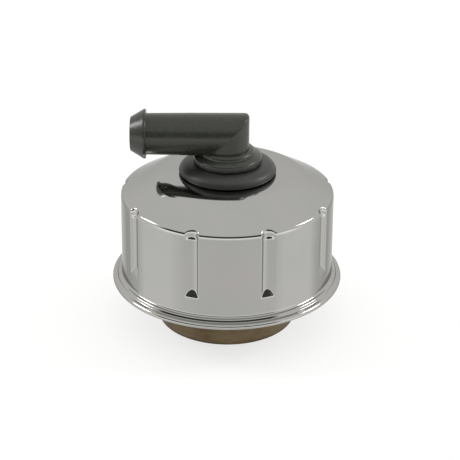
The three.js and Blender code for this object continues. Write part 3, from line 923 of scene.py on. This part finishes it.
upper_low, upper_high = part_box("upper_screen")
upper_radius = upper_high.y
cup_edge = CUT_EDGE * SCREEN_SHEET
cup_join = upper_radius - SCREEN_MARGIN / 2
cup_wall = turned_sheet(
    "cup_wall",
    (cup_join, upper_low.z, 0),
    (upper_radius, upper_low.z, cup_edge),
    (upper_radius, upper_high.z, cup_edge),
    (upper_radius - SCREEN_SHEET, upper_high.z, cup_edge),
    (upper_radius - SCREEN_SHEET, upper_low.z + SCREEN_SHEET, 0),
    (cup_join, upper_low.z + SCREEN_SHEET, 0),
)
cup = joined("upper_perforated_cup", screen("cup_floor", "upper_screen"), cup_wall)
dress(cup, zinc, "cap", "zinc_steel", "upper_screen")


# ---- Filter pad --------------------------------------------------------------------------------
# One long steel wire knitted in loops and laid in and out in a spiral, layer on layer. It fills the
# space between the two screens and catches the oil mist.

WIRE_RADIUS = 0.16 * MM
WIRE_SIDES = 4
WIRE_POINTS = 9000
PAD_LAYERS = 6
TURNS_PER_LAYER = 7
LOOPS = 1100
LOOP_SIZE = 1.9 * MM
PAD_MIDDLE = 3.0 * MM  # radius where the spiral starts
WIRE_JITTER = 0.25 * MM
WIRE_SEED = 7

WIRE_TONES = ((0.35, (0.30, 0.285, 0.25)), (0.65, (0.52, 0.52, 0.51)))


def knit_steel_finish():
    """Drawn steel wire, dull bright, filmed with oil in places."""
    steel = Finish("knit_steel")
    film = steel.noise(260.0, detail=3.0)
    steel.set(
        metallic=0.95,
        base_color=steel.ramp(film, *WIRE_TONES),
        roughness=steel.spread(film, 0.28, 0.48),
        normal=steel.bump(steel.noise(4000.0, detail=1.0), 0.004 * MM),
    )
    return steel.material


def knitted_mesh(name, radius, bottom, top):
    """The wire's path is worked out from each point's number, and a thin tube is run along it. The
    path keeps inside the pad by the loops' reach, the jitter and the wire's own radius."""
    skin_depth = WIRE_JITTER + WIRE_RADIUS
    pattern = Pattern(
        name,
        {
            "Pad Radius": radius - LOOP_SIZE - skin_depth,
            "Bottom": bottom + LOOP_SIZE / 2 + skin_depth,
            "Top": top - LOOP_SIZE / 2 - skin_depth,
            "Middle": PAD_MIDDLE,
            "Points": WIRE_POINTS,
            "Layers": PAD_LAYERS,
            "Turns": PAD_LAYERS * TURNS_PER_LAYER,
            "Loops": LOOPS,
            "Loop Size": LOOP_SIZE,
            "Jitter": WIRE_JITTER,
            "Wire Radius": WIRE_RADIUS,
            "Seed": WIRE_SEED,
            "Material": knit_steel_finish(),
        },
    )
    share = pattern.node("GeometryNodeInputIndex") / pattern.given("Points")
    out = pattern.math("PINGPONG", share * pattern.given("Layers"), 1.0)
    width = pattern.given("Pad Radius") - pattern.given("Middle")
    spiral = pattern.given("Middle") + width * pattern.math("SQRT", out)
    loop = share * pattern.given("Loops") * 2 * math.pi
    size = pattern.given("Loop Size")
    reach = spiral + size * pattern.math("SINE", loop)
    sweep = size * pattern.math("COSINE", loop) / spiral
    angle = share * pattern.given("Turns") * 2 * math.pi + sweep
    rise = pattern.given("Top") - pattern.given("Bottom")
    crossing = size / 2 * pattern.math("SINE", loop * 0.5)
    path = pattern.vector(
        reach * pattern.math("COSINE", angle),
        reach * pattern.math("SINE", angle),
        pattern.given("Bottom") + rise * share + crossing,
    )
    jitter = pattern.given("Jitter")
    back = -1 * jitter
    random = pattern.node(
        "FunctionNodeRandomValue",
        {"data_type": "FLOAT_VECTOR"},
        {
            "Min": pattern.vector(back, back, back),
            "Max": pattern.vector(jitter, jitter, jitter),
            "Seed": pattern.given("Seed"),
        },
    )
    line = pattern.node("GeometryNodeMeshLine", inputs={"Count": pattern.given("Points")})
    laying = {"Geometry": line, "Position": path, "Offset": random}
    laid = pattern.node("GeometryNodeSetPosition", inputs=laying)
    section = pattern.node(
        "GeometryNodeCurvePrimitiveCircle",
        inputs={"Resolution": WIRE_SIDES, "Radius": pattern.given("Wire Radius")},
    )
    wire = pattern.node("GeometryNodeMeshToCurve", inputs={"Mesh": laid})
    tube = {"Curve": wire, "Profile Curve": section, "Fill Caps": True}
    return pattern.mesh(pattern.node("GeometryNodeCurveToMesh", inputs=tube))


pad_low, pad_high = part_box("filter_pad")
pad_mesh = knitted_mesh("knitted_wire", pad_high.y, pad_low.z, pad_high.z)
knit = pad_mesh.materials[0]
pad = finished("knitted_pad", pad_mesh)
dress(pad, knit, "cap", "wire_knit", "filter_pad")


# ---- Grommet -----------------------------------------------------------------------------------
# Moulded rubber, snapped into the hole of the top. A wide convex flange lies on the top, a groove
# holds the edge of the sheet, and a tapered end below it helps it in.

GROMMET_BORE = 6.65 * MM
GROMMET_SEAT_RADIUS = 12.75 * MM  # the flat that the elbow's collar rests on
GROMMET_EDGE = 0.7 * MM  # height of the flange's outer edge
GROMMET_SWELL = 0.6  # how far in the flank is pulled, in edge heights
GROMMET_GAP = 0.3 * MM
GROMMET_LIP = 3.0 * MM
GROMMET_LIP_EDGE = 2.0 * MM
GROMMET_FLANK_STEPS = 14
GROOVE_ROUNDING = 0.2 * MM
NOSE_ROUNDING = 0.6 * MM
LIP_FOOT_ROUNDING = 0.5 * MM
LIP_TOP_ROUNDING = 0.4 * MM
MOUTH_ROUNDING = 0.3 * MM
UNDERCUT = 0.3 * MM
UNDERCUT_HEIGHT = 0.35 * MM
UNDERCUT_ROUNDING = 0.25 * MM
RUBBER_CRISP_ANGLE = 50

grommet_low, grommet_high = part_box("grommet")
grommet_radius = grommet_high.y
flange_underside = crown_height + GROMMET_GAP
groove_radius = HOLE_RADIUS - GROMMET_GAP
lower_radius = HOLE_RADIUS + GROMMET_LIP
lower_top = top_height(lower_radius) - SHELL_SHEET - GROMMET_GAP

flank = curve(
    (grommet_radius, flange_underside + GROMMET_EDGE),
    (grommet_radius - GROMMET_SWELL * GROMMET_EDGE, grommet_high.z - GROMMET_EDGE / 2),
    (GROMMET_SEAT_RADIUS, grommet_high.z),
    GROMMET_FLANK_STEPS,
)
below = rounded(
    [
        (GROMMET_BORE, grommet_high.z, 0),
        (GROMMET_BORE, grommet_low.z, MOUTH_ROUNDING),
        (groove_radius, grommet_low.z, NOSE_ROUNDING),
        (lower_radius, lower_top - GROMMET_LIP_EDGE, LIP_FOOT_ROUNDING),
        (lower_radius, lower_top, LIP_TOP_ROUNDING),
        (groove_radius, lower_top, GROOVE_ROUNDING),
        (groove_radius, flange_underside, GROOVE_ROUNDING),
        (grommet_radius - UNDERCUT, flange_underside, UNDERCUT_ROUNDING),
        (grommet_radius, flange_underside + UNDERCUT_HEIGHT, UNDERCUT),
    ],
    closed=False,
)
grommet = turned("rubber_grommet", below[:-1] + flank, sharp=RUBBER_CRISP_ANGLE)
dress(grommet, rubber, "cap", "rubber", "grommet")


# ---- Hose elbow --------------------------------------------------------------------------------
# One hollow moulding of glass-filled nylon, satin dark grey: spigot and retaining bead below, a
# collar, a riser with a bead at its foot, a mitred corner, and a hose tube with one barb.

BORE_RADIUS = 4.7 * MM
SPIGOT_RADIUS = 6.5 * MM
BEAD_HEIGHT = 2.6 * MM
BEAD_REACH = 0.9 * MM
BEAD_LAND = 0.65 * MM
COLLAR_RADIUS = 12.15 * MM
COLLAR_EDGE = 2.3 * MM
COLLAR_GAP = 0.3 * MM
COLLAR_ROUNDING = 0.9 * MM
STEP_RADIUS = 9.7 * MM
STEP_HEIGHT = 3.2 * MM
STEP_BEAD = 1.8 * MM
STEP_BEAD_STEPS = 10
STEP_FOOT_RUN = 0.5 * MM
STEP_FOOT_RISE = 0.1 * MM
RISER_RADIUS = 7.6 * MM
RISER_HEEL = 1.6 * MM  # how far the riser reaches out under the tube
TUBE_AXIS_HEIGHT = 9.9 * MM
TUBE_DRAFT = 0.3 * MM  # the tube is this much slimmer behind its barb
FIRST_DRAFT = 0.1 * MM  # the part of that draft which lies nearest to the mitre
FIRST_DRAFT_END = 0.4  # where that part ends, as a share of the tube's reach
BARB_RADIUS = 8.74 * MM
BARB_TIP_RADIUS = 5.96 * MM
BARB_TAPER = 4.7 * MM
BARB_LAND = 0.7 * MM
BARB_FILLET = 0.4 * MM
BARB_BACK_ROUNDING = 0.15 * MM
BARB_TIP_ROUNDING = 0.35 * MM
BORE_ROUNDING = 0.4 * MM
EDGE_ROUNDING = 0.3 * MM
CREASE_ROUNDING = 0.2 * MM
MITRE_ROUNDING = 0.35 * MM
MITRE_CORNER = 1.6 * MM
MITRE_FILLET = 2.4 * MM
BORE_MITRE_CORNER = 0.6 * MM
CORNER_FADE = 4  # how fast the outer corner's rounding fades at the sides
ELBOW_STEPS = 160
MITRE_STEPS = 8
NYLON_CRISP_ANGLE = 50

NYLON_TONES = (
    (0.3, (0.024, 0.027, 0.021)),
    (0.5, (0.033, 0.036, 0.028)),
    (0.75, (0.045, 0.048, 0.039)),
)
DUST_TONE = (0.16, 0.165, 0.155)

elbow_low, elbow_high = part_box("elbow")
tube_end = -elbow_low.x
collar_underside = grommet_high.z + COLLAR_GAP
collar_top = collar_underside + COLLAR_EDGE
step_foot = collar_underside + STEP_HEIGHT
tube_axis = collar_underside + TUBE_AXIS_HEIGHT
bead_bottom = elbow_low.z
bead_top = bead_bottom + BEAD_HEIGHT
bead_radius = SPIGOT_RADIUS + BEAD_REACH


def elbow_rows(upright, level, radius, rounding, corner, fillet, heel=0.0):
    """Rings up the riser, round the mitre and out along the tube. The outlines hold (radius, height)
    points for the riser and (radius, distance from the axis) points for the tube. The mitre's edge
    is rounded by one radius at the sides, another at the outer corner and a third at the inner one,
    and the riser reaches out under the tube by the heel."""
    turn = np.linspace(0, 2 * math.pi, ELBOW_STEPS, endpoint=False)
    across, side = np.cos(turn), np.sin(turn)
    over, under = np.clip(across, 0, 1), np.clip(-across, 0, 1)
    rows = []
    for r, z in upright:
        stretch = max(radius + heel - r, 0) if z > collar_top else 0
        height = np.full(ELBOW_STEPS, z)
        rows.append(np.column_stack([r * across - stretch * under, r * side, height]))
    out = radius * across - heel * under
    mitre = np.column_stack([out, radius * side, tube_axis + radius * across])
    reach = rounding + (corner - rounding) * over**CORNER_FADE + (fillet - rounding) * under
    before = mitre - reach[:, None] * np.array([0, 0, 1.0])
    after = mitre - reach[:, None] * np.array([1.0, 0, 0])
    rows += curve(before, mitre, after, MITRE_STEPS)
    for r, distance in level:
        away = np.full(ELBOW_STEPS, -distance)
        rows.append(np.column_stack([away, r * side, tube_axis + r * across]))
    return rows


def riser_outline():
    """From the spigot's lower end up over the retaining bead, the collar and the bead on it."""
    below = rounded(
        [
            (BORE_RADIUS, bead_bottom, 0),
            (SPIGOT_RADIUS - BEAD_REACH / 2, bead_bottom, EDGE_ROUNDING),
            (bead_radius, bead_top - BEAD_LAND, EDGE_ROUNDING),
            (bead_radius, bead_top, CREASE_ROUNDING),
            (SPIGOT_RADIUS, bead_top, CREASE_ROUNDING),
            (SPIGOT_RADIUS, collar_underside, CREASE_ROUNDING),
            (COLLAR_RADIUS, collar_underside, EDGE_ROUNDING),
            (COLLAR_RADIUS, collar_top, COLLAR_ROUNDING),
            (STEP_RADIUS + STEP_FOOT_RUN, step_foot - STEP_FOOT_RISE, EDGE_ROUNDING),
            (STEP_RADIUS, step_foot, 0),
        ],
        closed=False,
    )
    step_top = step_foot + STEP_BEAD
    ends = (STEP_RADIUS, step_foot), (STEP_RADIUS, step_top), (RISER_RADIUS, step_top)
    return below[1:-1] + curve(*ends, STEP_BEAD_STEPS)


def tube_outline():
    """From the mitre out over the tube and its barb to the tip, as (radius, distance) points."""
    barb_back = tube_end - BARB_TAPER - BARB_LAND
    corners = [
        (RISER_RADIUS, RISER_RADIUS, 0),
        (RISER_RADIUS - FIRST_DRAFT, FIRST_DRAFT_END * tube_end, 0),
        (RISER_RADIUS - TUBE_DRAFT, barb_back, BARB_FILLET),
        (BARB_RADIUS, barb_back, BARB_BACK_ROUNDING),
        (BARB_RADIUS, tube_end - BARB_TAPER, EDGE_ROUNDING),
        (BARB_TIP_RADIUS, tube_end, BARB_TIP_ROUNDING),
        (BORE_RADIUS, tube_end, 0),
    ]
    return rounded(corners, closed=False)[1:-1]


def elbow_mesh():
    """The outside, from the spigot's lower end to the tube's tip, and then the bore back again."""
    outer_mitre = (RISER_RADIUS, MITRE_ROUNDING, MITRE_CORNER, MITRE_FILLET, RISER_HEEL)
    outside = elbow_rows(riser_outline(), tube_outline(), *outer_mitre)
    mouth = BORE_RADIUS + BORE_ROUNDING
    bore_up = [(mouth, bead_bottom), (BORE_RADIUS, bead_bottom + BORE_ROUNDING)]
    bore_out = [(BORE_RADIUS, tube_end - BORE_ROUNDING), (mouth, tube_end)]
    bore_mitre = (BORE_RADIUS, EDGE_ROUNDING, BORE_MITRE_CORNER, EDGE_ROUNDING)
    inside = elbow_rows(bore_up, bore_out, *bore_mitre)
    return skin("hose_elbow", outside + inside[::-1], sharp=NYLON_CRISP_ANGLE)


def nylon_finish():
    """Glass-filled nylon: satin dark grey-green, with a fine fibre grain, cloudy flow and dust."""
    nylon = Finish("dark_nylon")
    flow = nylon.noise(60.0, detail=4.0, distortion=0.6)
    fibres = nylon.noise(1500.0, detail=3.0, stretch=(0.35, 1.0, 1.0))
    specks = nylon.noise(3200.0, detail=1.0)
    colour = nylon.ramp(flow * 0.6 + fibres * 0.4, *NYLON_TONES)
    dust = nylon.limit(specks, 0.66, 0.76)
    nylon.set(
        base_color=nylon.mix(dust * 0.35, colour, DUST_TONE),
        roughness=nylon.spread(flow * 0.5 + fibres * 0.5, 0.2, 0.32),
        normal=nylon.bump(fibres * 0.7 + specks * 0.3, 0.01 * MM),
    )
    return nylon.material


dress(elbow_mesh(), nylon_finish(), "elbow", "nylon", "elbow")


# ---- Floor, light and camera -------------------------------------------------------------------
# A pale floor, which glows a little so that no hard shadow lies on it, under a soft white room that
# is dark in front, with a soft box on each side. The floor is left out of reflections, where the
# room's own table stands in for it.

FLOOR_RADIUS = 6.0
FLOOR_SEGMENTS = 64
FLOOR_TONE = (0.34, 0.34, 0.34, 1.0)
FLOOR_GLOW = 0.7
LIGHT_AIM = Vector((0.0, 0.0, 0.03))
BOX_OUT = 1.1
BOX_BACK = 0.15
BOX_HEIGHT = 0.75
BOX_SIZE = 0.35
BOX_POWER = 4.0

floor_work = bmesh.new()
bmesh.ops.create_circle(floor_work, cap_ends=True, segments=FLOOR_SEGMENTS, radius=FLOOR_RADIUS)
floor = placed("floor", taken_off("floor", floor_work))
paper = Finish("white_paper")
paper.set(
    base_color=FLOOR_TONE,
    roughness=0.9,
    emission_color=(1.0, 1.0, 1.0, 1.0),
    emission_strength=FLOOR_GLOW,
)
floor.data.materials.append(paper.material)
floor.visible_glossy = False


def soft_box(name, place):
    """A square area light that faces the cap."""
    light = bpy.data.lights.new(name, "AREA")
    light.shape = "SQUARE"
    light.size = BOX_SIZE
    light.energy = BOX_POWER
    lamp = placed(name, light)
    lamp.location = place
    lamp.rotation_euler = (LIGHT_AIM - place).to_track_quat("-Z", "Y").to_euler()
    lamp.visible_camera = False


for name, side in (("left_box", -1), ("right_box", 1)):
    soft_box(name, Vector((side * BOX_OUT, BOX_BACK, BOX_HEIGHT)))

ROOM_TONE = (1.0, 0.998, 0.975, 1.0)
SKY = 0.85
BAND_FOOT = (-0.05, 0.0)  # heights over the horizon, as the sine of the angle
BAND_TOP = (0.46, 0.6)
BAND_DARKNESS = 0.92
BAND_SIDES = (0.40, 0.58)
BAND_TURN = math.radians(10)
GLOW = 0.75
GLOW_RISE = (-0.42, -0.12)
GLOW_SIDES = (0.0, 0.5)
ZENITH_GUARD = 0.001  # keeps the division below from zero straight overhead
TABLE_TONES = (
    (0.0, 0.86),
    (0.07, 0.86),
    (0.12, 0.66),
    (0.30, 0.75),
    (0.41, 0.97),
    (0.72, 0.95),
    (0.82, 0.84),
    (1.0, 0.80),
)


def room():
    """The room as a sky: evenly pale above, with a dark band in front over the horizon. Below the
    horizon lies a pale table with a tone for each share of the way round from behind the cap to in
    front of it, and a glow far away in front. Pairs of numbers are where a smooth rise starts and
    ends."""
    world = bpy.data.worlds.new("room")
    world.use_nodes = True
    bpy.context.scene.world = world
    sky = Tree(world.node_tree)
    direction = sky.node("ShaderNodeTexCoord", output="Generated")

    def part(axis):
        return sky.node("ShaderNodeSeparateXYZ", inputs={"Vector": direction}, output=axis)

    def past(value, start, end):
        smooth = {"interpolation_type": "SMOOTHSTEP"}
        inputs = {"Value": value, "From Min": start, "From Max": end}
        return sky.node("ShaderNodeMapRange", smooth, inputs)

    front, side, height = -1 * part("Y"), -1 * part("X"), part("Z")
    level = (1 + ZENITH_GUARD - height * height) ** 0.5
    facing = front / level
    facing_band = (front * math.cos(BAND_TURN) + side * math.sin(BAND_TURN)) / level
    tones = [(place, (tone,) * 3) for place, tone in TABLE_TONES]
    table = sky.node("ShaderNodeValToRGB", {"stops": tones}, {"Fac": facing * 0.5 + 0.5})
    table = table * (1 + GLOW * past(height, *GLOW_RISE) * past(facing, *GLOW_SIDES))
    over_horizon = past(height, *BAND_FOOT)
    band = over_horizon * (1 - past(height, *BAND_TOP)) * past(facing_band, *BAND_SIDES)
    above = SKY * (1 - BAND_DARKNESS * band)
    background = world.node_tree.nodes["Background"]
    background.inputs["Color"].default_value = ROOM_TONE
    strength = above * over_horizon + table * (1 - over_horizon)
    sky.feed(background.inputs["Strength"], strength)


room()
bpy.context.scene.view_settings.view_transform = "Standard"

CAMERA_TILT = math.radians(26.29)
CAMERA_ROLL = math.radians(0.44)
CAMERA_DISTANCE = 507.1 * MM
CAMERA_AIM = Vector((1.04 * MM, 0.0, 33.5 * MM))
FOCAL_LENGTH = 109.24
SENSOR_WIDTH = 36.0
NEAREST_SEEN = 0.01

camera_data = bpy.data.cameras.new("camera")
camera_data.lens = FOCAL_LENGTH
camera_data.sensor_width = SENSOR_WIDTH
camera_data.clip_start = NEAREST_SEEN
camera = placed("camera", camera_data)
forward = Vector((0.0, math.cos(CAMERA_TILT), -math.sin(CAMERA_TILT)))
camera.matrix_world = (
    Matrix.Translation(CAMERA_AIM - forward * CAMERA_DISTANCE)
    @ Matrix.Rotation(math.pi / 2 - CAMERA_TILT, 4, "X")
    @ Matrix.Rotation(CAMERA_ROLL, 4, "Z")
)
bpy.context.scene.camera = camera
